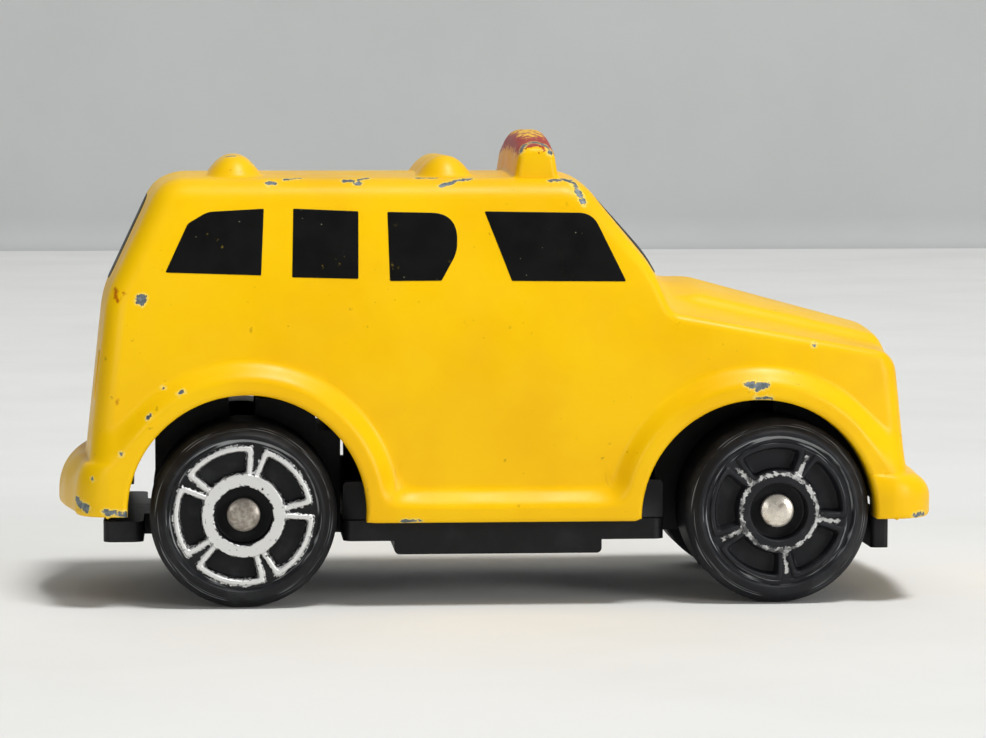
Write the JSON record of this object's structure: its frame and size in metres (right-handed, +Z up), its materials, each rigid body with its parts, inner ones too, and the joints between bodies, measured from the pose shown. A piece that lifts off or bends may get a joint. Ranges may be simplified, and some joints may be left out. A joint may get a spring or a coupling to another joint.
{
  "type": "scale model sport utility vehicle",
  "caption": "Small die-cast toy sport utility vehicle with a hollow cast body, moulded chassis, wire axles and free-rolling one-piece wheels.",
  "frame": {"origin": "on the floor under the middle of the overall length, in the plane of symmetry", "axes": "+X towards the nose, +Y to the vehicle's left, +Z up"},
  "size_m": [0.0524, 0.023, 0.028],
  "materials": {
    "body_enamel": "yellow gloss enamel over a zinc casting, chipped along the roof edge, bumpers and flares; black printed windows",
    "chassis_plastic": "black moulded plastic, satin",
    "axle_steel": "drawn steel wire with cold-formed heads",
    "wheel_plastic": "black moulded plastic with hot-stamped silver foil on the raised hub pattern, partly worn off",
    "rivet_steel": "plain steel rivet"
  },
  "bodies": {
    "car_body": {"body_shell": "body_enamel", "chassis_base": "chassis_plastic", "front_rivet": "rivet_steel", "rear_rivet": "rivet_steel"},
    "front_axle": {"front_axle": "axle_steel"},
    "rear_axle": {"rear_axle": "axle_steel"},
    "front_left_wheel": {"front_left_wheel": "wheel_plastic"},
    "front_right_wheel": {"front_right_wheel": "wheel_plastic"},
    "rear_left_wheel": {"rear_left_wheel": "wheel_plastic"},
    "rear_right_wheel": {"rear_right_wheel": "wheel_plastic"}
  },
  "joints": [
    {"name": "front_axle_spin", "type": "hinge", "parent": "car_body", "child": "front_axle", "pos_m": [0.01641, 0, 0.00547], "axis": [0, 1, 0], "continuous": true},
    {"name": "rear_axle_spin", "type": "hinge", "parent": "car_body", "child": "rear_axle", "pos_m": [-0.01499, 0, 0.00547], "axis": [0, 1, 0], "continuous": true},
    {"name": "front_left_wheel_spin", "type": "hinge", "parent": "front_axle", "child": "front_left_wheel", "pos_m": [0.01641, 0.0081, 0.00547], "axis": [0, 1, 0], "continuous": true},
    {"name": "front_right_wheel_spin", "type": "hinge", "parent": "front_axle", "child": "front_right_wheel", "pos_m": [0.01641, -0.0081, 0.00547], "axis": [0, 1, 0], "continuous": true},
    {"name": "rear_left_wheel_spin", "type": "hinge", "parent": "rear_axle", "child": "rear_left_wheel", "pos_m": [-0.01499, 0.0081, 0.00547], "axis": [0, 1, 0], "continuous": true},
    {"name": "rear_right_wheel_spin", "type": "hinge", "parent": "rear_axle", "child": "rear_right_wheel", "pos_m": [-0.01499, -0.0081, 0.00547], "axis": [0, 1, 0], "continuous": true}
  ]
}
